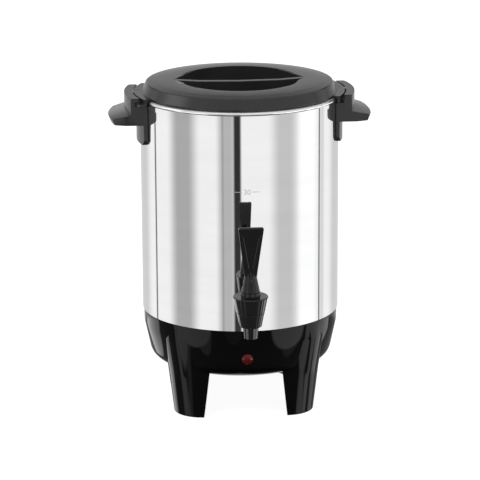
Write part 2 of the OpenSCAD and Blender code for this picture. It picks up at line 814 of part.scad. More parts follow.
// The rubber cup that the stem lifts off the seat
module seat_cup() {
    rim_h = 2.4;
    color(silicone) translate([0, tap_y, stem_low_z - seat_cup_t]) difference() {
        union() {
            cylinder(r = chamber_r - 1.8, h = rim_h);
            translate([0, 0, rim_h]) cylinder(r1 = chamber_r - 1.8, r2 = stem_r + 1.6, h = 7);
        }
        translate([0, 0, seat_cup_t]) cylinder(r = stem_r + stem_button, h = stem_button_h);
        translate([0, 0, seat_cup_t]) cylinder(r = stem_r, h = 20);
    }
}

// ---- Lid ----

// The recess outline: two round halves and straight sides that run to a point at each end
module recess_plan(inset) {
    r = recess_r + inset;
    tip = recess_tip + inset;
    reach = norm([tip, recess_half]);
    a = acos(r / reach) - asin(recess_half / reach);
    x = (r - recess_join) * cos(a);
    y = recess_half + (r - recess_join) * sin(a);
    for (side = [-1, 1]) translate([0, side * recess_half]) circle(r, $fn = 180);
    polygon([[tip, 0], [x, y], [-x, y], [-tip, 0], [-x, -y], [x, -y]]);
}

// The lid's outer skin in section: flange, sloping skirt and low dome
module lid_section() {
    polygon([[0, plug_z], [plug_r, plug_z], [plug_r, rim_z], [flange_r, rim_z], [flange_r, rim_z + 2],
             [skirt_top_r + 0.3, skirt_top_z - 0.8], [skirt_top_r - 0.6, skirt_top_z],
             [skirt_top_r - 10, crown_z - 0.8], [skirt_top_r - 20, crown_z - 0.2],
             [recess_tip + 1, crown_z], [0, crown_z]]);
}

// The hollow under the rim of the lid, between its plug and the recess
module lid_hollow() {
    out = plug_r - lid_wall;
    rotate_extrude() polygon([[0, plug_z - cut], [out, plug_z - cut], [out, rim_z + 4],
        [skirt_top_r - lid_wall - 2, skirt_top_z - lid_wall], [skirt_top_r - 20, crown_z - lid_wall - 0.4],
        [0, crown_z - lid_wall]]);
}

// The grip ridge, lowest in the middle where the hand takes it
module ridge(w, low, drop) {
    far = recess_tip + 2;
    intersection() {
        translate([-far, -w / 2, low]) cube([2 * far, w, crown_z - low]);
        translate([0, w, 0]) rotate([90, 0, 0]) linear_extrude(2 * w) polygon([[-far, low],
            [-far, crown_z - drop], [-0.6 * far, crown_z - ridge_dip * 0.75 - drop],
            [0, crown_z - ridge_dip - drop], [0.6 * far, crown_z - ridge_dip * 0.75 - drop],
            [far, crown_z - drop], [far, low]]);
        translate([0, 0, low]) linear_extrude(crown_z) recess_plan(lid_wall / 2);
    }
}

module lid_shell() {
    difference() {
        rotate_extrude() lid_section();
        difference() {
            lid_hollow();
            translate([0, 0, recess_z - lid_wall]) linear_extrude(crown_z) recess_plan(lid_wall);
        }
        translate([0, 0, recess_z]) linear_extrude(crown_z) recess_plan(0);
    }
}

// A locking lug on the +X side: a ledge over the rim, two pegs, and a hook on the +Y peg
module lug() {
    sector(plug_r, lug_r, -lug_to, lug_to, lug_z, handle_top - lug_z);
    for (a = [lug_from, -lug_to])
        sector(lug_r - peg_t, lug_r, a, a + lug_to - lug_from, hook_low_z, handle_top - hook_low_z);
    sector(lug_r - 1, hook_reach, lug_from, lug_to, hook_low_z, hook_t);
}

module lid_cover() {
    boss_h = recess_z - lid_wall - plug_z;
    color(black) {
        difference() {
            union() {
                lid_shell();
                ridge(ridge_w, recess_z - lid_wall, 0);
                for (a = [0, 180]) rotate([0, 0, a]) lug();
                for (a = [30, 150, 270]) rotate([0, 0, a]) translate([lid_screw_r, 0, plug_z])
                    cylinder(r = 4, h = boss_h + 0.5, $fn = 48);
            }
            for (x = [-1, 1]) translate([x * (flange_r + 10), 7.6, handle_top + 0.1])
                cube([20, 0.8, 1], center = true);
            for (a = [30, 150, 270]) rotate([0, 0, a]) translate([lid_screw_r, 0, plug_z - cut])
                cylinder(r = 1.5, h = boss_h, $fn = 32);
            translate([0, 0, -ridge_dip]) ridge(ridge_w - 4, recess_z - lid_wall, 2.5);
        }
    }
}

module lid_liner() {
    color(steel) translate([0, 0, plug_z - liner_t]) difference() {
        cylinder(r = plug_r, h = liner_t);
        for (a = [30, 150, 270]) rotate([0, 0, a]) translate([lid_screw_r, 0, -cut])
            cylinder(r = 1.5 + fit_gap, h = liner_t + 2 * cut, $fn = 32);
    }
}

module lid_screws() {
    color(steel) for (a = [30, 150, 270]) rotate([0, 0, a])
        translate([lid_screw_r, 0, plug_z - liner_t]) {
            translate([0, 0, -1.6]) cylinder(r1 = 2.4, r2 = 3, h = 1.6, $fn = 48);
            cylinder(r = 1.45, h = liner_t + recess_z - lid_wall - plug_z - cut - 0.2, $fn = 32);
        }
}

module lid_seal() {
    color(silicone) translate([0, 0, rim_z - free_gap - seal_h])
        ring(tank_ri - 0.2 - free_gap, plug_r + free_gap, seal_h);
}

// ---- Percolator ----

module pump_tube() {
    collar = 1.5;
    neck = tube_r - tube_wall;
    color(steel) difference() {
        rotate_extrude() {
            translate([neck, tube_low_z]) square([tube_wall, tube_top_z - tube_low_z]);
            translate([neck, basket_z - collar]) square([4.5, collar]);
            translate([4, bell_plate_z]) square([bell_r - 4, tube_wall]);
            translate([bell_r - tube_wall, bell_z]) square([tube_wall, 2 + tube_wall]);
            polygon([[bell_r - tube_wall, bell_plate_z], [bell_r, bell_plate_z],
                     [bell_r, bell_plate_z + 1], [tube_r, bell_z + bell_h], [neck, bell_z + bell_h],
                     [neck, bell_z + bell_h - 1.2]]);
        }
        for (a = [0, 60, 120]) rotate([0, 0, a]) translate([-bell_r - cut, -3, bell_z - cut])
            cube([2 * (bell_r + cut), 6, 1 + cut]);
    }
}

// The loose disc that lets water into the bell and stops it going back
module pump_valve() {
    color(brass) translate([0, 0, bell_plate_z + tube_wall + 0.1]) cylinder(r = 7.5, h = 0.8);
}

module coffee_basket() {
    color(steel) difference() {
        rotate_extrude() {
            translate([sleeve_r - basket_wall, basket_z]) square([basket_r - sleeve_r, basket_wall]);
            translate([basket_r - basket_wall, basket_z]) square([basket_wall, basket_h - 1]);
            translate([basket_r, basket_rim_z - 1]) circle(1, $fn = 32);
            translate([sleeve_r - basket_wall, basket_z]) square([basket_wall, basket_h - 4]);
        }
        for (ring = hole_rings) if (ring[0] < basket_r - 6)
            for (i = [0 : ring[1] - 1]) rotate([0, 0, i * 360 / ring[1]])
                translate([ring[0], 0, basket_z - cut])
                    cylinder(r = basket_hole, h = basket_wall + 2 * cut, $fn = 16);
    }
}

// The spreader plate that lies on the basket and shares out the water
module basket_cover() {
    low = basket_rim_z + free_gap;
    color(steel) difference() {
        rotate_extrude() {
            translate([tube_r + free_gap, low]) square([basket_r - tube_r, basket_wall]);
            translate([basket_r + 0.3, low]) square([basket_wall, 3]);
        }
        for (ring = hole_rings) if (ring[0] < basket_r - 6)
            for (i = [0 : ring[1] / 2 - 1]) rotate([0, 0, i * 720 / ring[1]])
                translate([ring[0], 0, low - cut])
                    cylinder(r = basket_hole, h = basket_wall + 2 * cut, $fn = 16);
    }
}

tank();
base_housing();
base_seal();
bottom_cover();
centre_stud();
base_nut();
heater_block();
heater_nut();
clamp_bar();
thermostat();
thermal_fuse();
indicator_lens();
lamp_holder();
power_inlet();
inlet_pins();
inlet_screws();
internal_wires();
left_handle();
right_handle();
handle_screws();
handle_washers();
tap_body();
tap_bonnet();
tap_washers();
tap_nut();
tap_lever();
lever_pin();
valve_stem();
seat_cup();
lid_cover();
lid_liner();
lid_screws();
lid_seal();
pump_tube();
pump_valve();
coffee_basket();
basket_cover();
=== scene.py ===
import json
import math

import bmesh
import bpy
from mathutils import Matrix, Vector


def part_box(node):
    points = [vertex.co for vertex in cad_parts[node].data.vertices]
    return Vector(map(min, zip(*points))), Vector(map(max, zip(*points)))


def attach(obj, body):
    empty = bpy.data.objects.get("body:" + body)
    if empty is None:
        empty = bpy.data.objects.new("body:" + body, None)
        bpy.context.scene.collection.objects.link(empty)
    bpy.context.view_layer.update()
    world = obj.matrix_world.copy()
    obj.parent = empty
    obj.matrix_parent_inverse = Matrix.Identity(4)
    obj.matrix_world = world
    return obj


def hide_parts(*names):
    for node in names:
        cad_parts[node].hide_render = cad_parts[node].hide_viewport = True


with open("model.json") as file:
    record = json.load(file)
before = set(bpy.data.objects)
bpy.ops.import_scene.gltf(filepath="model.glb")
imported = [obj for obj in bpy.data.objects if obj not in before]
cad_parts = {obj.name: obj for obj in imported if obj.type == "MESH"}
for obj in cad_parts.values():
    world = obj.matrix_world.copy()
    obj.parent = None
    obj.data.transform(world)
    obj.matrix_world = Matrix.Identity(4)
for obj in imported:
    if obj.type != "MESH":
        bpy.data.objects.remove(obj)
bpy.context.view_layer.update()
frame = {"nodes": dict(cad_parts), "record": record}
mm = 0.001
joinGap = 2e-6  # points nearer than this are joined
sharpAngle = math.radians(30)
flatAngle = math.radians(0.4)  # faces that meet flatter than this become one
print("frame loaded:", len(frame["nodes"]), "nodes")


# small helpers for node trees and meshes

def addNode(tree, kind, inputs=None, **settings):
    node = tree.nodes.new(kind)
    for name, value in settings.items():
        setattr(node, name, value)
    for key, value in (inputs or {}).items():
        if isinstance(value, bpy.types.NodeSocket):
            tree.links.new(value, node.inputs[key])
        else:
            node.inputs[key].default_value = value
    return node


def mathNode(tree, operation, a, b=0.0):
    return addNode(tree, "ShaderNodeMath", {0: a, 1: b}, operation=operation).outputs[0]


def mixNode(tree, share, a, b):
    return addNode(tree, "ShaderNodeMix", {0: share, 2: a, 3: b}, data_type="FLOAT").outputs[0]


def freshMaterial(name):
    material = bpy.data.materials.new(name)
    material.use_nodes = True
    tree = material.node_tree
    tree.nodes.clear()
    return material, tree


def ramp(tree, factor, stops):
    node = addNode(tree, "ShaderNodeValToRGB", {0: factor})
    elements = node.color_ramp.elements
    while len(elements) > 1:
        elements.remove(elements[-1])
    for i, (place, colour) in enumerate(stops):
        element = elements[0] if i == 0 else elements.new(place)
        element.position = place
        element.color = (*colour, 1)
    return node.outputs[0]


def spread(tree, factor, low, high):
    return addNode(tree, "ShaderNodeMapRange", {0: factor, 3: low, 4: high}).outputs[0]


def meshObject(name, mesh):
    piece = bpy.data.objects.new(name, mesh)
    bpy.context.scene.collection.objects.link(piece)
    return piece


def bakedMesh(piece):
    graph = bpy.context.evaluated_depsgraph_get()
    mesh = bpy.data.meshes.new_from_object(piece.evaluated_get(graph), depsgraph=graph)
    old = piece.data
    piece.modifiers.clear()
    piece.data = mesh
    if old.users == 0:
        bpy.data.meshes.remove(old)
    return piece


def tidyMesh(mesh):
    form = bmesh.new()
    form.from_mesh(mesh)
    bmesh.ops.remove_doubles(form, verts=form.verts, dist=joinGap)
    bmesh.ops.dissolve_degenerate(form, edges=form.edges, dist=joinGap)
    bmesh.ops.delete(form, geom=[v for v in form.verts if not v.link_faces], context="VERTS")
    bmesh.ops.recalc_face_normals(form, faces=form.faces)
    form.to_mesh(mesh)
    form.free()
    mesh.shade_smooth()
    mesh.set_sharp_from_angle(angle=sharpAngle)
    mesh.update()


def placePiece(piece, body, slotName, material, *nodes):
    piece.data.materials.clear()
    piece.data.materials.append(material)
    for face in piece.data.polygons:
        face.material_index = 0
    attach(piece, body)
    if nodes:
        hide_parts(*nodes)
    return piece


# camera: on the tap's side of the urn, looking down a little on the lid
view = {"azimuth": -4.1, "distance": 2.425, "height": 0.8141, "aimHeight": 0.1643,
        "roll": -0.28, "lens": 186.0, "sensor": 36, "far": 50}


def makeCamera():
    data = bpy.data.cameras.new("mainCamera")
    camera = bpy.data.objects.new("mainCamera", data)
    bpy.context.scene.collection.objects.link(camera)
    turn = math.radians(view["azimuth"])
    out = view["distance"]
    camera.location = (out * math.sin(turn), -out * math.cos(turn), view["height"])
    aim = Vector((0, 0, view["aimHeight"])) - camera.location
    roll = Matrix.Rotation(math.radians(view["roll"]), 3, "Z")
    camera.rotation_euler = (aim.to_track_quat("-Z", "Y").to_matrix() @ roll).to_euler()
    data.lens = view["lens"]
    data.sensor_width = view["sensor"]
    data.clip_end = view["far"]
    bpy.context.scene.camera = camera


makeCamera()
bpy.context.scene.view_settings.view_transform = "Standard"


# the studio: a white room with dark and bright cards round the urn, over a grey table top
# az 0 is the camera's side, el is above the horizon, and both are in degrees
studio = {
    "room": 1.04,
    "ceiling": 0.75,
    "rise": (-5.0, 40.0),
    "behindCamera": -view["azimuth"],
    # the table darkens from its own level to the deep one as it nears the urn
    "table": {"edge": -18.2, "soft": 0.7, "reach": 172, "end": 5, "level": 0.28,
              "fade": (-64, -44), "deep": 0.08},
    # az from, az to, el from, el to, softness, brightness
    "cardSoft": 3.0,
    "cards": [
        (-219, -141, -24, 4, 20.0, 0.70),
        (-116.2, -113.6, -24, 30, 1.2, 0.06),
        (-85, -54, -24, 4, 9.0, 0.47),
        (-24, -6, -24, 12, 5.0, 0.54),
        (-20.5, -18.5, -24, 12, 1.0, 0.40),
        (-6.8, 1.4, -24, -1, 1.6, 0.035),
        (-32, 32, 1, 15, 4.0, 0.60),
        (40, 68, -24, 4, 8.5, 0.64),
        (73, 99, -24, 4, 5.0, 1.20),
        (104.6, 107, -24, 30, 1.0, 0.06),
        (107.5, 115, -24, 4, 2.5, 0.80),
        (135, 225, -24, 4, 10.0, 0.70),
        (-70, 70, 44, 78, 8.0, 1.1),
        (-100, -72, 15, 34, 6.0, 2.2),
        (125, 235, 4, 15, 3.0, 0.50),
        (125, 235, 15, 20, 1.5, 0.34),
        (125, 235, 20.5, 29, 1.2, 0.07),
        (-173, -158, 5, 14, 1.5, 0.95),
    ],
    # bright shapes that hang from the table's edge: the middle's az, half width, depth, brightness
    "lobeEdge": (0.8, 1.1),
    "lobes": [(-134, 19, 14, 2.3), (-78, 9, 17, 1.9), (-46, 11, 21, 1.0), (-58, 23, 14, 2.4),
              (-8, 11, 11, 0.5), (66, 14, 22, 0.8), (60, 23, 16, 2.9), (94, 8, 18, 2.3),
              (117, 16, 13, 2.3)],
}


def makeWorld():
    world = bpy.data.worlds.new("studioRoom")
    bpy.context.scene.world = world
    world.use_nodes = True
    tree = world.node_tree
    tree.nodes.clear()
    coords = addNode(tree, "ShaderNodeTexCoord")
    turned = addNode(tree, "ShaderNodeVectorRotate", {"Vector": coords.outputs["Generated"],
                     "Angle": math.radians(studio["behindCamera"])}, rotation_type="Z_AXIS")
    split = addNode(tree, "ShaderNodeSeparateXYZ", {0: turned.outputs[0]})
    back = mathNode(tree, "MULTIPLY", split.outputs[1], -1.0)
    degrees = 180 / math.pi
    azimuth = mathNode(tree, "MULTIPLY", mathNode(tree, "ARCTAN2", split.outputs[0], back), degrees)
    elevation = mathNode(tree, "MULTIPLY", mathNode(tree, "ARCSINE", split.outputs[2]), degrees)

    def ease(value, first, last, low, high):
        sizes = {0: value, 1: first, 2: last, 3: low, 4: high}
        return addNode(tree, "ShaderNodeMapRange", sizes, interpolation_type="SMOOTHSTEP").outputs[0]

    def between(value, low, high, soft):
        middle, half = (low + high) / 2, (high - low) / 2
        away = mathNode(tree, "ABSOLUTE", mathNode(tree, "SUBTRACT", value, middle))
        return ease(away, half - soft, half + soft, 1.0, 0.0)

    def turnedFrom(middle):  # the azimuth measured from a card's middle, the short way round
        turns = {0: mathNode(tree, "SUBTRACT", azimuth, middle), 1: 180.0, 2: -180.0}
        return addNode(tree, "ShaderNodeMath", turns, operation="WRAP").outputs[0]

    def withCards(light, cards):
        for left, right, low, high, soft, level in cards:
            middle, half = (left + right) / 2, (right - left) / 2
            wide = between(turnedFrom(middle), -half, half, soft)
            tall = between(elevation, low, high, min(soft, studio["cardSoft"]))
            light = mixNode(tree, mathNode(tree, "MULTIPLY", wide, tall), light, level)
        return light

    walls = ease(elevation, *studio["rise"], studio["room"], studio["ceiling"])
    light = withCards(walls, studio["cards"])
    table = studio["table"]
    below = ease(elevation, table["edge"] - table["soft"], table["edge"] + table["soft"], 1.0, 0.0)
    ends = between(azimuth, -table["reach"], table["reach"], table["end"])
    top = ease(elevation, *table["fade"], table["deep"], table["level"])
    light = mixNode(tree, mathNode(tree, "MULTIPLY", below, ends), light, top)
    drop = mathNode(tree, "SUBTRACT", table["edge"], elevation)
    for middle, half, depth, level in studio["lobes"]:
        wide = mathNode(tree, "DIVIDE", turnedFrom(middle), half)
        deep = mathNode(tree, "DIVIDE", mathNode(tree, "MAXIMUM", drop, 0.0), depth)
        away = mathNode(tree, "ADD", mathNode(tree, "MULTIPLY", wide, wide),
                        mathNode(tree, "MULTIPLY", deep, deep))
        mask = mathNode(tree, "MULTIPLY", ease(away, *studio["lobeEdge"], 1.0, 0.0), below)
        light = mixNode(tree, mask, light, level)
    path = addNode(tree, "ShaderNodeLightPath")
    strength = mixNode(tree, path.outputs["Is Camera Ray"], light, 1.0)
    room = addNode(tree, "ShaderNodeBackground", {"Color": (1, 1, 1, 1), "Strength": strength})
    output = addNode(tree, "ShaderNodeOutputWorld", {"Surface": room.outputs[0]})
    output.is_active_output = True


makeWorld()

# a soft key from the upper left, a fill from the right and a top light, all aimed at the urn
lampAim = (0, 0, 0.17)
lamps = [
    {"name": "keyLight", "place": (-1.3, -1.5, 1.9), "size": (1.1, 1.1), "power": 14},
    {"name": "fillLight", "place": (1.7, -1.1, 1.3), "size": (1.0, 1.4), "power": 5},
    {"name": "topLight", "place": (0.1, 0.5, 2.1), "size": (1.6, 1.2), "power": 10},
]


def makeLamps():
    for lamp in lamps:
        data = bpy.data.lights.new(lamp["name"], "AREA")
        data.shape = "RECTANGLE"
        data.size, data.size_y = lamp["size"]
        data.energy = lamp["power"]
        light = bpy.data.objects.new(lamp["name"], data)
        bpy.context.scene.collection.objects.link(light)
        light.location = lamp["place"]
        light.visible_glossy = False  # shiny parts show the room's cards in its place
        aim = Vector(lampAim) - Vector(lamp["place"])
        light.rotation_euler = aim.to_track_quat("-Z", "Y").to_euler()


makeLamps()


# the floor: pale, seen white by the camera, and it keeps the urn's shadow
floorLook = {"size": 14.0, "colour": (0.26, 0.26, 0.26), "lift": 0.92}


def makeFloor():
    half = floorLook["size"] / 2
    mesh = bpy.data.meshes.new("studioFloor")
    corners = [(-half, -half, 0), (half, -half, 0), (half, half, 0), (-half, half, 0)]
    mesh.from_pydata(corners, [], [(0, 1, 2, 3)])
    floor = meshObject("studioFloor", mesh)
    material, tree = freshMaterial("paleFloor")
    path = addNode(tree, "ShaderNodeLightPath")
    paint = addNode(tree, "ShaderNodeBsdfDiffuse", {"Color": (*floorLook["colour"], 1)})
    seen = mathNode(tree, "MULTIPLY", path.outputs["Is Camera Ray"], floorLook["lift"])
    glow = addNode(tree, "ShaderNodeEmission", {"Color": (1, 1, 1, 1), "Strength": seen})
    both = addNode(tree, "ShaderNodeAddShader", {0: paint.outputs[0], 1: glow.outputs[0]})
    addNode(tree, "ShaderNodeOutputMaterial", {"Surface": both.outputs[0]})
    mesh.materials.append(material)
    floor.visible_glossy = False  # shiny parts show the white room in its place


makeFloor()
print("camera, room, lamps and floor made")


# finishes, each with its colour range, roughness range, grain and relief
def makeFinish(name, look):
    material, tree = freshMaterial(name)
    coords = addNode(tree, "ShaderNodeTexCoord")
    grain = addNode(tree, "ShaderNodeMapping", {"Vector": coords.outputs["Object"],
                    "Scale": look.get("grain", (1, 1, 1))}).outputs[0]
    cloud = addNode(tree, "ShaderNodeTexNoise", {"Vector": grain, "Scale": look["cloud"],
                    "Detail": 4.0, "Roughness": 0.6})
    fine = addNode(tree, "ShaderNodeTexNoise", {"Vector": grain, "Scale": look["fine"], "Detail": 3.0})
    colour = ramp(tree, cloud.outputs[0], [(0.3, look["dark"]), (0.7, look["light"])])
    both = mathNode(tree, "ADD", cloud.outputs[0], fine.outputs[0])
    rough = spread(tree, mathNode(tree, "MULTIPLY", both, 0.5), *look["roughness"])
    strength, distance = look["relief"]
    relief = addNode(tree, "ShaderNodeBump", {"Strength": strength, "Distance": distance,
                     "Height": fine.outputs[0]})
    if "soften" in look:  # fine edges are seen a little rounded
        edges = addNode(tree, "ShaderNodeBevel", {"Radius": look["soften"] * mm}, samples=4)
        tree.links.new(edges.outputs[0], relief.inputs["Normal"])
    metal = look.get("metallic", 0.0)
    if "inside" in look:  # the faces turned to the vessel's axis are duller
        place = addNode(tree, "ShaderNodeNewGeometry")
        flat = addNode(tree, "ShaderNodeVectorMath", {0: place.outputs["Position"], 1: (1, 1, 0)},
                       operation="MULTIPLY")
        facing = addNode(tree, "ShaderNodeVectorMath",
                         {0: flat.outputs[0], 1: place.outputs["True Normal"]},
                         operation="DOT_PRODUCT")
        inward = mathNode(tree, "LESS_THAN", facing.outputs["Value"], look["inside"]["turn"])
        rough = mixNode(tree, inward, rough, look["inside"]["roughness"])
        metal = mixNode(tree, inward, metal, look["inside"]["metallic"])
    shader = addNode(tree, "ShaderNodeBsdfPrincipled", {"Base Color": colour, "Roughness": rough,
                     "Normal": relief.outputs[0], "Metallic": metal})
    for socket, value in look.get("shader", {}).items():
        shader.inputs[socket].default_value = value
    addNode(tree, "ShaderNodeOutputMaterial", {"Surface": shader.outputs[0]})
    return material


finishes = {
    "polished_steel": {"dark": (0.81, 0.81, 0.82), "light": (0.85, 0.85, 0.855),
                       "roughness": (0.03, 0.055),
                       "cloud": 9.0, "fine": 60.0, "grain": (1, 1, 6),
                       "relief": (0.01, 0.00001), "metallic": 1.0,
                       "inside": {"turn": 0.02, "roughness": 0.24, "metallic": 0.86}},
    "plain_steel": {"dark": (0.60, 0.60, 0.61), "light": (0.72, 0.72, 0.73),
                    "roughness": (0.22, 0.38),
                    "cloud": 30.0, "fine": 700.0, "grain": (1, 1, 6),
                    "relief": (0.08, 0.00003), "metallic": 1.0},
    "gloss_black": {"dark": (0.0009, 0.0009, 0.0010), "light": (0.0017, 0.0017, 0.0018),
                    "roughness": (0.035, 0.07),
                    "cloud": 14.0, "fine": 260.0, "relief": (0.03, 0.00002), "soften": 0.6,
                    "shader": {"Specular IOR Level": 0.11}},
    "satin_black": {"dark": (0.016, 0.016, 0.0175), "light": (0.023, 0.023, 0.025),
                    "roughness": (0.16, 0.26),
                    "cloud": 22.0, "fine": 1400.0, "relief": (0.10, 0.00004), "soften": 0.7,
                    "shader": {"Specular IOR Level": 0.42}},
    "tap_black": {"dark": (0.0014, 0.0014, 0.0015), "light": (0.0026, 0.0026, 0.0028),
                  "roughness": (0.04, 0.08),
                  "cloud": 30.0, "fine": 500.0, "relief": (0.04, 0.00003), "soften": 0.12,
                  "shader": {"Specular IOR Level": 0.45}},
    "inlet_black": {"dark": (0.012, 0.012, 0.012), "light": (0.022, 0.022, 0.022),
                    "roughness": (0.38, 0.52),
                    "cloud": 40.0, "fine": 1500.0, "relief": (0.15, 0.00005)},
    "dark_plastic": {"dark": (0.035, 0.035, 0.037), "light": (0.06, 0.06, 0.062),
                     "roughness": (0.42, 0.58),
                     "cloud": 30.0, "fine": 1200.0, "relief": (0.15, 0.00005)},
    "silicone": {"dark": (0.50, 0.49, 0.46), "light": (0.60, 0.59, 0.56),
                 "roughness": (0.42, 0.56),
                 "cloud": 30.0, "fine": 800.0, "relief": (0.08, 0.00005),
                 "shader": {"Subsurface Weight": 0.25, "Subsurface Scale": 0.003}},
    "cast_aluminium": {"dark": (0.46, 0.46, 0.46), "light": (0.62, 0.62, 0.62),
                       "roughness": (0.40, 0.62),
                       "cloud": 60.0, "fine": 600.0, "relief": (0.35, 0.0001), "metallic": 1.0},
    "ceramic_white": {"dark": (0.74, 0.73, 0.69), "light": (0.84, 0.83, 0.79),
                      "roughness": (0.48, 0.66),
                      "cloud": 60.0, "fine": 900.0, "relief": (0.2, 0.00006)},
    "lens_red": {"dark": (0.06, 0.001, 0.0015), "light": (0.18, 0.003, 0.004),
                 "roughness": (0.06, 0.14),
                 "cloud": 260.0, "fine": 420.0, "relief": (0.25, 0.0002),
                 "shader": {"Specular IOR Level": 0.3}},
    "brass": {"dark": (0.60, 0.43, 0.18), "light": (0.76, 0.58, 0.28),
              "roughness": (0.22, 0.36),
              "cloud": 60.0, "fine": 900.0, "relief": (0.1, 0.00003), "metallic": 1.0},
    "wire_sleeve": {"dark": (0.26, 0.03, 0.025), "light": (0.38, 0.05, 0.04),
                    "roughness": (0.50, 0.64),
                    "cloud": 90.0, "fine": 1500.0, "relief": (0.15, 0.00005)},
}


def camelCase(name):
    first, *rest = name.split("_")
    return first + "".join(word.title() for word in rest)


materials = {name: makeFinish(camelCase(name), look) for name, look in finishes.items()}

# every CAD node starts with the finish of its own slot
for part in frame["record"]["subparts"]:
    node = frame["nodes"][part["node"]]
    node.data.materials.clear()
    node.data.materials.append(materials[part["material_slot"]])
print("finishes made:", len(materials))


# a lathe: a closed outline of points in x and z is turned about the z axis
def latheTree():
    tree = bpy.data.node_groups.new("turnedShell", "GeometryNodeTree")
    face = tree.interface
    face.new_socket(name="Geometry", in_out="INPUT", socket_type="NodeSocketGeometry")
    face.new_socket(name="Facets", in_out="INPUT", socket_type="NodeSocketInt")
    face.new_socket(name="Finish", in_out="INPUT", socket_type="NodeSocketMaterial")
    face.new_socket(name="Geometry", in_out="OUTPUT", socket_type="NodeSocketGeometry")
    given = addNode(tree, "NodeGroupInput").outputs
    size = addNode(tree, "GeometryNodeAttributeDomainSize", {0: given["Geometry"]}, component="MESH")
    points = size.outputs["Point Count"]
    across = mathNode(tree, "ADD", points, 1.0)
    around = mathNode(tree, "ADD", given["Facets"], 1.0)
    sheet = addNode(tree, "GeometryNodeMeshGrid", {"Vertices X": around, "Vertices Y": across})
    index = addNode(tree, "GeometryNodeInputIndex").outputs[0]
    row = mathNode(tree, "FLOOR", mathNode(tree, "DIVIDE", mathNode(tree, "ADD", index, 0.5), across))
    column = mathNode(tree, "SUBTRACT", index, mathNode(tree, "MULTIPLY", row, across))
    place = addNode(tree, "GeometryNodeInputPosition").outputs[0]
    outline = addNode(tree, "GeometryNodeSampleIndex", {"Geometry": given["Geometry"], "Value": place,
                      "Index": mathNode(tree, "MODULO", column, points)},
                      data_type="FLOAT_VECTOR", domain="POINT")
    split = addNode(tree, "ShaderNodeSeparateXYZ", {0: outline.outputs[0]})
    share = mathNode(tree, "DIVIDE", row, given["Facets"])
    turn = mathNode(tree, "MULTIPLY", share, 2 * math.pi)
    x = mathNode(tree, "MULTIPLY", split.outputs[0], mathNode(tree, "COSINE", turn))
    y = mathNode(tree, "MULTIPLY", split.outputs[0], mathNode(tree, "SINE", turn))
    spot = addNode(tree, "ShaderNodeCombineXYZ", {0: x, 1: y, 2: split.outputs[2]})
    turned = addNode(tree, "GeometryNodeSetPosition",
                     {"Geometry": sheet.outputs[0], "Position": spot.outputs[0]})
    closed = addNode(tree, "GeometryNodeMergeByDistance",
                     {"Geometry": turned.outputs[0], "Distance": joinGap})
    real = addNode(tree, "GeometryNodeRealizeInstances", {0: closed.outputs[0]})
    painted = addNode(tree, "GeometryNodeSetMaterial",
                      {"Geometry": real.outputs[0], "Material": given["Finish"]})
    addNode(tree, "NodeGroupOutput", {"Geometry": painted.outputs[0]})
    return tree


def setInputs(modifier, values):
    for item in modifier.node_group.interface.items_tree:
        if item.item_type == "SOCKET" and item.in_out == "INPUT" and item.name in values:
            modifier[item.identifier] = values[item.name]


lathe = latheTree()


def turnedPiece(name, outline, material, facets):
    mesh = bpy.data.meshes.new(name)
    count = len(outline)
    rim = [(i, (i + 1) % count) for i in range(count)]
    mesh.from_pydata([(x * mm, 0, z * mm) for x, z in outline], rim, [])
    piece = meshObject(name, mesh)
    modifier = piece.modifiers.new("turn", "NODES")
    modifier.node_group = lathe
    setInputs(modifier, {"Facets": facets, "Finish": material})
    bakedMesh(piece)
    tidyMesh(piece.data)
    return piece


# an outline with its corners rounded: each corner is x, z and its radius
def rounded(corners):
    steps, mostShare = 5, 0.49
    points = []
    for i, (x, z, radius) in enumerate(corners):
        here = Vector((x, z))
        before = Vector(corners[i - 1][:2]) - here
        after = Vector(corners[(i + 1) % len(corners)][:2]) - here
        if radius <= 0 or before.length < 1e-6 or after.length < 1e-6:
            points.append((x, z))
            continue
        half = before.angle(after) / 2
        reach = min(radius / math.tan(half), before.length * mostShare, after.length * mostShare)
        bend = reach * math.tan(half)
        inward = (before.normalized() + after.normalized()).normalized()
        centre = here + inward * (bend / math.sin(half))
        first = here + before.normalized() * reach - centre
        last = here + after.normalized() * reach - centre
        sweep = first.angle_signed(last)
        for k in range(steps + 1):
            turn = -sweep * k / steps
            points.append((centre.x + first.x * math.cos(turn) - first.y * math.sin(turn),
                           centre.y + first.x * math.sin(turn) + first.y * math.cos(turn)))
    return points


def arc(x, z, radius, start, end, steps):
    turns = [math.radians(start + (end - start) * k / steps) for k in range(steps + 1)]
    return [(x + radius * math.cos(turn), z + radius * math.sin(turn)) for turn in turns]


def cutBy(piece, cutters):
    for cutter in cutters:
        modifier = piece.modifiers.new("hole", "BOOLEAN")
        modifier.operation = "DIFFERENCE"
        modifier.solver = "EXACT"
        modifier.object = cutter
    bakedMesh(piece)
    for cutter in cutters:
        bpy.data.objects.remove(cutter)


def roundBar(start, axis, radius, length, sides):
    form = bmesh.new()
    bmesh.ops.create_cone(form, cap_ends=True, segments=sides, radius1=radius * mm,
                          radius2=radius * mm, depth=length * mm)
    turn = Vector((0, 0, 1)).rotation_difference(Vector(axis)).to_matrix().to_4x4()
    middle = Vector(start) * mm + Vector(axis).normalized() * (length * mm / 2)
    form.transform(Matrix.Translation(middle) @ turn)
    mesh = bpy.data.meshes.new("cutter")
    form.to_mesh(mesh)
    form.free()
    return meshObject("cutter", mesh)


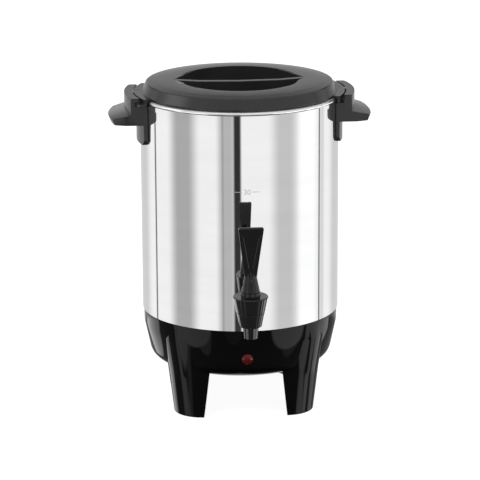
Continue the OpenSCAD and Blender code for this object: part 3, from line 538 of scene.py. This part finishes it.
tankLow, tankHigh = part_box("tank")
tankLook = {"radius": 99.0, "wall": 0.8, "seam": 98.0, "rim": round(tankHigh.z / mm, 3),
            "bead": 1.75, "beadIn": 0.2, "beadSteps": 20, "floor": 101.0, "floorBend": 2.5,
            "well": 24.0, "wellFloor": round(tankLow.z / mm, 3), "wellBend": 1.5,
            "lipBends": (0.9, 0.3), "facets": 192,
            # holes: height, radius, where the cutting bar starts, its length and its sides
            "shank": 121.7, "shankHole": 8.1, "shankBar": (-40, 80, 48), "shankBand": 11,
            "screws": 297.4, "screwHole": 2.1, "screwBar": (110, 24), "screwBand": 4,
            "screwAngle": 11.0}


def makeTank(look):
    outer, inner = look["radius"], look["radius"] - look["wall"]
    bead, top = look["bead"], look["rim"] - look["bead"]
    centre = inner - look["beadIn"] + bead
    start = -90 - math.degrees(math.asin((centre - outer) / bead))
    end = 270 - math.degrees(math.asin((centre - inner) / bead))
    well, wall = look["well"], look["wall"]
    floorLow, wellLow, bend = look["floor"], look["wellFloor"], look["wellBend"]
    floorHigh, wellHigh = floorLow + wall, wellLow + wall
    highLip, lowLip = look["lipBends"]
    levels = [look["shank"] - look["shankBand"], look["shank"] + look["shankBand"],
              look["screws"] - look["screwBand"], look["screws"] + look["screwBand"]]
    outline = [(outer, look["seam"])] + [(outer, level) for level in levels]
    outline += arc(centre, top, bead, start, end, look["beadSteps"])
    outline += rounded([(inner, level, 0) for level in (levels[3], levels[2], levels[1])] +
                       [(inner, floorHigh, look["floorBend"]), (well, floorHigh, highLip),
                        (well, wellHigh, bend), (0, wellHigh, 0), (0, wellLow, 0),
                        (well + wall, wellLow, bend), (well + wall, floorLow, lowLip),
                        (inner, floorLow, 0), (inner, look["seam"], 0)])
    tank = turnedPiece("polishedTank", outline, materials["polished_steel"], look["facets"])
    begin, length, sides = look["shankBar"]
    cutters = [roundBar((0, begin, look["shank"]), (0, -1, 0), look["shankHole"], length, sides)]
    length, sides = look["screwBar"]
    for side in (0, 180):
        for angle in (-look["screwAngle"], look["screwAngle"]):
            turn = math.radians(side + angle)
            axis = (math.cos(turn), math.sin(turn), 0)
            cutters.append(roundBar((0, 0, look["screws"]), axis, look["screwHole"], length, sides))
    cutBy(tank, cutters)
    tidyMesh(tank.data)
    return placePiece(tank, "urn", "polished_steel", materials["polished_steel"], "tank")


makeTank(tankLook)
print("tank made")


# a moulded piece: the solid's faces joined into one clean skin, with the chosen corners rounded
def mouldedPiece(name, node, look):
    data = frame["nodes"][node].data
    mesh = bpy.data.meshes.new(name)
    points = [tuple(v.co) for v in data.vertices]
    mesh.from_pydata(points, [], [tuple(f.vertices) for f in data.polygons])
    form = bmesh.new()
    form.from_mesh(mesh)
    bmesh.ops.remove_doubles(form, verts=form.verts, dist=joinGap)
    bmesh.ops.dissolve_degenerate(form, edges=form.edges, dist=joinGap)
    bmesh.ops.dissolve_limit(form, angle_limit=flatAngle, verts=form.verts, edges=form.edges)
    crisp = math.radians(look["crisp"])
    for chosen, width, steps in look["corners"]:
        edges = [e for e in form.edges if len(e.link_faces) == 2 and e.is_convex
                 and e.calc_face_angle() > crisp and chosen(*[v.co / mm for v in e.verts])]
        bmesh.ops.bevel(form, geom=edges, offset=width * mm, offset_type="OFFSET", segments=steps,
                        profile=0.5, affect="EDGES", clamp_overlap=False)
        print("  ", name, "rounded", len(edges), "edges by", width, "mm")
    bmesh.ops.remove_doubles(form, verts=form.verts, dist=joinGap)
    form.to_mesh(mesh)
    form.free()
    piece = meshObject(name, mesh)
    mesh.shade_smooth()
    mesh.set_sharp_from_angle(angle=crisp)
    weighted = piece.modifiers.new("evenShading", "WEIGHTED_NORMAL")
    weighted.keep_sharp = True
    return bakedMesh(piece)


roundRule = {"side": 0.08, "least": 0.5, "swing": math.radians(9), "overlap": 0.01, "band": 1.0}


# how far a turned face leans at a place: its profile is rows of height, radius and tilt from the top
# down; a face without a row keeps its own lean, and one away from its row's radius gives None
def profileRise(profile, height, radius, own):
    for (topZ, topR, topTilt), (lowZ, lowR, lowTilt) in zip(profile, profile[1:]):
        if lowZ - roundRule["overlap"] <= height <= topZ + roundRule["overlap"]:
            share = (topZ - height) / (topZ - lowZ)
            if abs(radius - topR - (lowR - topR) * share) < roundRule["band"]:
                return math.sin(math.radians(topTilt + (lowTilt - topTilt) * share))
            return None
    return own


# turned faces get the normals of their true round form
def roundNormals(piece, axis=(0, 0), profile=()):
    mesh = piece.data
    normals = [corner.vector.copy() for corner in mesh.corner_normals]
    for face in mesh.polygons:
        side = face.normal.xy
        if side.length < roundRule["side"]:
            continue
        for loop in face.loop_indices:
            place = mesh.vertices[mesh.loops[loop].vertex_index].co / mm
            out = place.xy - Vector(axis)
            if out.length < roundRule["least"] or side.angle(out) > roundRule["swing"]:
                continue
            rise = profileRise(profile, place.z, out.length, face.normal.z)
            if rise is not None:
                out = out.normalized() * math.sqrt(1 - rise * rise)
                normals[loop] = Vector((out.x, out.y, rise))
    mesh.normals_split_custom_set(normals)


# the base; its profiles give height, radius and tilt in degrees
baseLook = {"crisp": 32, "corners": [], "legPlace": 59, "legTurns": (45, 135, 225, 315),
            "bowl": [(98, 98, -1.2), (84.5, 97.8, -5.5), (57.2, 92.0, -17), (53, 90.6, -32),
                     (50.5, 88.3, -50), (47.5, 84, -70), (46.5, 78.8, -88)],
            "leg": [(97.7, 39.6, -1.2), (79.5, 39.6, -6), (46.5, 34.2, -8.5), (0, 28.6, -6.5)]}
base = mouldedPiece("mouldedBase", "base_housing", baseLook)
for turn in baseLook["legTurns"]:
    out = baseLook["legPlace"]
    axis = (out * math.cos(math.radians(turn)), out * math.sin(math.radians(turn)))
    roundNormals(base, axis, baseLook["leg"])
roundNormals(base, profile=baseLook["bowl"])
placePiece(base, "urn", "gloss_black", materials["gloss_black"], "base_housing")

# the handles, with their upright outer corners rounded
uprights = {"tall": 3, "lean": 1.5, "beyond": 26}


def uprightCorner(a, b):
    steep = abs(a.z - b.z) > uprights["tall"] and (a.xy - b.xy).length < uprights["lean"]
    return steep and abs(a.y) > uprights["beyond"]


handleLook = {"crisp": 32, "corners": [(uprightCorner, 1.5, 3)]}
for side in ("left", "right"):
    handle = mouldedPiece(side + "MouldedHandle", side + "_handle", handleLook)
    placePiece(handle, "urn", "satin_black", materials["satin_black"], side + "_handle")

# the lid, with the edge of its finger recess rounded
recess = {"above": 330.3, "within": 62}


def recessEdge(a, b):
    return min(a.z, b.z) > recess["above"] and max(a.xy.length, b.xy.length) < recess["within"]


lidLook = {"crisp": 32, "corners": [(recessEdge, 1.2, 4)]}
lid = mouldedPiece("mouldedLid", "lid_cover", lidLook)
roundNormals(lid)
placePiece(lid, "lid", "satin_black", materials["satin_black"], "lid_cover")

# the tap, with the seam between body and bonnet and the lever's paddle rounded
tapPlaces = {"axis": (0, -139), "seam": 129.7, "seamGap": 0.05, "seamRadius": 13, "paddle": 168.5}


def seamEdge(a, b):
    level = max(abs(v.z - tapPlaces["seam"]) for v in (a, b)) < tapPlaces["seamGap"]
    out = min((v.xy - Vector(tapPlaces["axis"])).length for v in (a, b))
    return level and out > tapPlaces["seamRadius"]


def paddleEdge(a, b):
    return min(a.z, b.z) > tapPlaces["paddle"]


tapLook = {"crisp": 14, "corners": [(seamEdge, 0.5, 3), (paddleEdge, 0.5, 3)]}
for node, name, body in (("tap_body", "tapSpout", "urn"), ("tap_bonnet", "tapBonnet", "urn"),
                         ("tap_lever", "tapLever", "lever")):
    piece = mouldedPiece(name, node, tapLook)
    roundNormals(piece, axis=tapPlaces["axis"])
    placePiece(piece, body, "tap_black", materials["tap_black"], node)

lensLook = {"crisp": 32, "corners": []}
lens = mouldedPiece("lampLens", "indicator_lens", lensLook)
placePiece(lens, "urn", "lens_red", materials["lens_red"], "indicator_lens")
print("moulded pieces made")


crossShape = {"wide": 0.24, "headSides": 40, "shankSides": 24}


# screws with a cross in their heads, one at each point, facing along the point's own direction
def screwTree():
    tree = bpy.data.node_groups.new("crossScrews", "GeometryNodeTree")
    face = tree.interface
    face.new_socket(name="Geometry", in_out="INPUT", socket_type="NodeSocketGeometry")
    for label in ("Head Top", "Head Foot", "Head Height", "Shank", "Length", "Cross"):
        face.new_socket(name=label, in_out="INPUT", socket_type="NodeSocketFloat")
    face.new_socket(name="Finish", in_out="INPUT", socket_type="NodeSocketMaterial")
    face.new_socket(name="Geometry", in_out="OUTPUT", socket_type="NodeSocketGeometry")
    given = addNode(tree, "NodeGroupInput").outputs
    head = addNode(tree, "GeometryNodeMeshCone",
                   {"Vertices": crossShape["headSides"], "Radius Top": given["Head Top"],
                    "Radius Bottom": given["Head Foot"], "Depth": given["Head Height"]}).outputs[0]
    cross = []
    for long, wide in ((1.0, crossShape["wide"]), (crossShape["wide"], 1.0)):
        span = addNode(tree, "ShaderNodeCombineXYZ",
                       {0: mathNode(tree, "MULTIPLY", given["Cross"], long),
                        1: mathNode(tree, "MULTIPLY", given["Cross"], wide), 2: given["Head Height"]})
        bar = addNode(tree, "GeometryNodeMeshCube", {"Size": span.outputs[0]}).outputs[0]
        lift = addNode(tree, "ShaderNodeCombineXYZ", {2: given["Head Height"]}).outputs[0]
        raised = addNode(tree, "GeometryNodeTransform", {"Geometry": bar, "Translation": lift})
        cross.append(raised.outputs[0])
    slotted = addNode(tree, "GeometryNodeMeshBoolean", {"Mesh 1": head}, operation="DIFFERENCE")
    for bar in cross:
        tree.links.new(bar, slotted.inputs["Mesh 2"])
    stem = addNode(tree, "GeometryNodeMeshCylinder", {"Vertices": crossShape["shankSides"],
                   "Radius": given["Shank"], "Depth": given["Length"]}).outputs[0]
    drop = addNode(tree, "ShaderNodeCombineXYZ",
                   {2: mathNode(tree, "MULTIPLY", given["Length"], -0.5)}).outputs[0]
    stem = addNode(tree, "GeometryNodeTransform", {"Geometry": stem, "Translation": drop})
    screw = addNode(tree, "GeometryNodeJoinGeometry")
    for part in (slotted.outputs[0], stem.outputs[0]):
        tree.links.new(part, screw.inputs[0])
    aim = addNode(tree, "GeometryNodeInputNamedAttribute", {"Name": "facing"},
                  data_type="FLOAT_VECTOR").outputs[0]
    turn = addNode(tree, "FunctionNodeAlignRotationToVector", {"Vector": aim}, axis="Z").outputs[0]
    placed = addNode(tree, "GeometryNodeInstanceOnPoints", {"Points": given["Geometry"],
                     "Instance": screw.outputs[0], "Rotation": turn})
    real = addNode(tree, "GeometryNodeRealizeInstances", {0: placed.outputs[0]})
    painted = addNode(tree, "GeometryNodeSetMaterial",
                      {"Geometry": real.outputs[0], "Material": given["Finish"]})
    addNode(tree, "NodeGroupOutput", {"Geometry": painted.outputs[0]})
    return tree


screws = screwTree()


def screwPiece(name, places, look, body, node):
    mesh = bpy.data.meshes.new(name)
    mesh.from_pydata([Vector(place) * mm for place, facing in places], [], [])
    aims = mesh.attributes.new("facing", "FLOAT_VECTOR", "POINT")
    for i, (place, facing) in enumerate(places):
        aims.data[i].vector = facing
    piece = meshObject(name, mesh)
    modifier = piece.modifiers.new("screws", "NODES")
    modifier.node_group = screws
    setInputs(modifier, {label: size * mm for label, size in look.items()})
    setInputs(modifier, {"Finish": materials["plain_steel"]})
    bakedMesh(piece)
    tidyMesh(piece.data)
    return placePiece(piece, body, "plain_steel", materials["plain_steel"], node)


def around(turn):
    return Vector((math.cos(math.radians(turn)), math.sin(math.radians(turn)), 0))


# the handles' four screws, seen inside the tank
handleScrewLook = {"Head Top": 3.2, "Head Foot": 4.0, "Head Height": 2.0, "Shank": 2.0,
                   "Length": 14.4, "Cross": 4.2}
handleScrewPlace = {"turns": (-11, 11, 169, 191), "radius": 96.7}
places = []
for turn in handleScrewPlace["turns"]:
    middle = around(turn) * handleScrewPlace["radius"] + Vector((0, 0, tankLook["screws"]))
    places.append((middle, -around(turn)))
screwPiece("handleScrews", places, handleScrewLook, "urn", "handle_screws")

# the power inlet's two screws
inletScrewLook = {"Head Top": 2.2, "Head Foot": 2.8, "Head Height": 1.4, "Shank": 1.4,
                  "Length": 7.8, "Cross": 3.0}
screwLow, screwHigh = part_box("inlet_screws")
reach = screwHigh.x / mm - inletScrewLook["Head Foot"]
face = screwHigh.y / mm - inletScrewLook["Head Height"]
level = (screwLow.z + screwHigh.z) / 2 / mm
places = [((side * reach, face, level), Vector((0, 1, 0))) for side in (-1, 1)]
screwPiece("inletScrews", places, inletScrewLook, "urn", "inlet_screws")

# the three screws under the lid
screwLow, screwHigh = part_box("lid_screws")
lidScrewLook = {"Head Top": 2.4, "Head Foot": 3.0, "Head Height": 1.6, "Shank": 1.4, "Cross": 3.2}
lidScrewLook["Length"] = (screwHigh.z - screwLow.z) / mm - lidScrewLook["Head Height"]
lidScrewPlace = {"turns": (30, 150, 270), "radius": 50}
level = Vector((0, 0, screwLow.z / mm + lidScrewLook["Head Height"]))
places = [(around(turn) * lidScrewPlace["radius"] + level, Vector((0, 0, -1)))
          for turn in lidScrewPlace["turns"]]
screwPiece("lidScrews", places, lidScrewLook, "lid", "lid_screws")
print("screws made")


# the level mark: a plain number between two dashes, etched on the tank's front
markLook = {"level": 238.5, "digits": 5.2, "fontScale": 1.4, "dash": (7.0, 0.7), "dashCells": 6,
            "gap": 1.6, "depth": 0.03, "sunk": 0.01}


def levelMark(look):
    curve = bpy.data.curves.new("levelMark", "FONT")
    curve.body = "30"
    curve.size = look["digits"] * look["fontScale"] * mm
    curve.align_x = "CENTER"
    letters = bpy.data.objects.new("levelMark", curve)
    bpy.context.scene.collection.objects.link(letters)
    bpy.context.view_layer.update()
    graph = bpy.context.evaluated_depsgraph_get()
    mesh = bpy.data.meshes.new_from_object(letters.evaluated_get(graph), depsgraph=graph)
    bpy.data.objects.remove(letters)
    form = bmesh.new()
    form.from_mesh(mesh)
    wide = max(v.co.x for v in form.verts) + look["gap"] * mm
    middle = max(v.co.y for v in form.verts) / 2
    length, thick = look["dash"][0] * mm, look["dash"][1] * mm
    for side in (-1, 1):
        ends = sorted((side * wide, side * (wide + length)))
        cells = look["dashCells"]
        spots = [ends[0] + (ends[1] - ends[0]) * k / cells for k in range(cells + 1)]
        rows = [[form.verts.new((x, middle + half * thick / 2, 0)) for x in spots] for half in (-1, 1)]
        for k in range(cells):
            form.faces.new((rows[0][k], rows[0][k + 1], rows[1][k + 1], rows[1][k]))
    bmesh.ops.triangulate(form, faces=form.faces)
    skin = bmesh.ops.extrude_face_region(form, geom=form.faces[:])
    for part in skin["geom"]:
        if isinstance(part, bmesh.types.BMVert):
            part.co.z = look["depth"] * mm
    radius = tankLook["radius"] * mm
    for v in form.verts:
        turn = v.co.x / radius
        out = radius - look["sunk"] * mm + v.co.z
        height = look["level"] * mm - middle + v.co.y
        v.co = Vector((out * math.sin(turn), -out * math.cos(turn), height))
    bmesh.ops.recalc_face_normals(form, faces=form.faces)
    form.to_mesh(mesh)
    form.free()
    piece = meshObject("levelMark", mesh)
    return placePiece(piece, "urn", "plain_steel", materials["plain_steel"])


levelMark(markLook)
print("level mark made")
